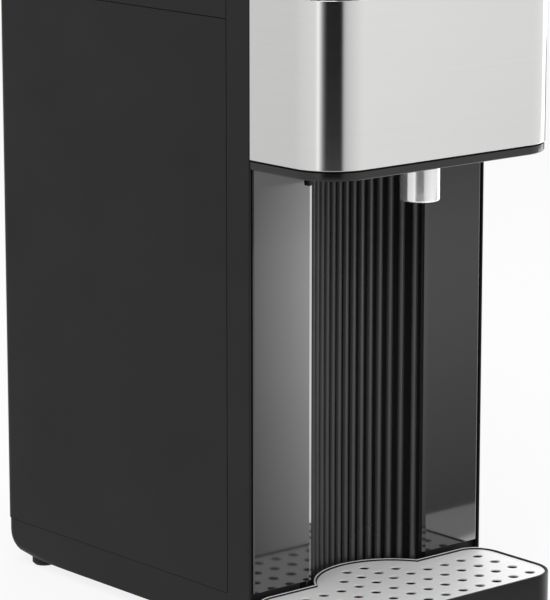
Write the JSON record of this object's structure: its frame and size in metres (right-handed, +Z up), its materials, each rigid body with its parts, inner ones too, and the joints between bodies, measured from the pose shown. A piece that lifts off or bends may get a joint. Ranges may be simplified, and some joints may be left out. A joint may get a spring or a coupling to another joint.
{
  "type": "counter-top hot water dispenser",
  "caption": "Slim hot water dispenser with a steel-wrapped head, fluted cup niche, lift-out rear tank and slide-out drip tray.",
  "frame": {"origin": "on the worktop, below the middle of the whole object's box", "axes": "+X to the right as seen from the front, +Y to the back, +Z up"},
  "size_m": [0.16, 0.2694, 0.333],
  "materials": {
    "black_plastic": "fine-textured moulded black plastic",
    "gloss_black": "polished black plastic",
    "brushed_steel": "brushed stainless steel",
    "chrome": "polished metal",
    "smoke_plastic": "dark tinted display lens",
    "tank_plastic": "clear smoke-tinted plastic",
    "rubber": "black rubber",
    "silicone": "translucent silicone hose",
    "grey_plastic": "plain grey moulded plastic",
    "white_plastic": "plain white moulded plastic",
    "board_green": "green circuit board",
    "zinc": "zinc-plated steel"
  },
  "bodies": {
    "main_body": {"base_pan": "black_plastic", "base_screw_1": "zinc", "base_screw_2": "zinc", "base_screw_3": "zinc", "base_screw_4": "zinc", "foot_rear_left": "rubber", "foot_rear_right": "rubber", "foot_front_left": "rubber", "foot_front_right": "rubber", "rear_housing": "black_plastic", "cord_gland": "rubber", "front_frame": "black_plastic", "wing_panel_left": "gloss_black", "wing_panel_right": "gloss_black", "panel_clip_left": "black_plastic", "panel_clip_right": "black_plastic", "niche_panel": "black_plastic", "head_band": "brushed_steel", "head_shell": "black_plastic", "head_bottom_cover": "black_plastic", "cover_screw_1": "zinc", "cover_screw_2": "zinc", "cover_screw_3": "zinc", "cover_screw_4": "zinc", "spout_sleeve": "chrome", "spout_outlet": "grey_plastic", "control_panel": "gloss_black", "display_window": "smoke_plastic", "display_module": "grey_plastic", "control_board": "board_green", "top_deck": "black_plastic", "tank_cradle": "grey_plastic", "valve_seat": "grey_plastic", "heater_body": "brushed_steel", "heater_bracket": "zinc", "thermal_cutout": "white_plastic", "temperature_sensor": "chrome", "pump_housing": "grey_plastic", "pump_motor": "zinc", "power_board": "board_green", "inlet_hose": "silicone", "feed_hose": "silicone", "outlet_hose": "silicone"},
    "tank": {"water_tank": "tank_plastic", "tank_collar": "black_plastic", "lid_pin_left": "zinc", "lid_pin_right": "zinc", "tank_valve": "white_plastic", "valve_seal": "rubber", "float_guide": "white_plastic"},
    "lid": {"tank_lid": "black_plastic"},
    "valve_pin": {"valve_plunger": "white_plastic", "valve_spring": "zinc"},
    "float": {"tank_float": "white_plastic"},
    "tray": {"drip_tray": "black_plastic"},
    "grille": {"drip_grille": "brushed_steel"},
    "lock_button": {"lock_key": "gloss_black"},
    "temperature_button": {"temperature_key": "gloss_black"},
    "volume_button": {"volume_key": "gloss_black"},
    "start_button": {"start_key": "gloss_black"}
  },
  "joints": [
    {"name": "tank_lift", "type": "slide", "parent": "main_body", "child": "tank", "axis": [0, 0, 1], "range_m": [0, 0.27]},
    {"name": "lid_hinge", "type": "hinge", "parent": "tank", "child": "lid", "pos_m": [0, 0.13225, 0.3301], "axis": [-1, 0, 0], "range_deg": [0, 95]},
    {"name": "valve_press", "type": "slide", "parent": "tank", "child": "valve_pin", "axis": [0, 0, 1], "range_m": [0, 0.0015], "stiffness_N_per_m": 150, "deforming": ["valve_spring"]},
    {"name": "float_rise", "type": "slide", "parent": "tank", "child": "float", "axis": [0, 0, 1], "range_m": [0, 0.176]},
    {"name": "tray_slide", "type": "slide", "parent": "main_body", "child": "tray", "axis": [0, -1, 0], "range_m": [0, 0.09]},
    {"name": "grille_lift", "type": "slide", "parent": "tray", "child": "grille", "axis": [0, 0, 1], "range_m": [0, 0.03]},
    {"name": "lock_key_press", "type": "slide", "parent": "main_body", "child": "lock_button", "axis": [0, 0, -1], "range_m": [0, 0.001], "stiffness_N_per_m": 300},
    {"name": "temperature_key_press", "type": "slide", "parent": "main_body", "child": "temperature_button", "axis": [0, 0, -1], "range_m": [0, 0.001], "stiffness_N_per_m": 300},
    {"name": "volume_key_press", "type": "slide", "parent": "main_body", "child": "volume_button", "axis": [0, 0, -1], "range_m": [0, 0.001], "stiffness_N_per_m": 300},
    {"name": "start_key_press", "type": "slide", "parent": "main_body", "child": "start_button", "axis": [0, 0, -1], "range_m": [0, 0.001], "stiffness_N_per_m": 300}
  ]
}
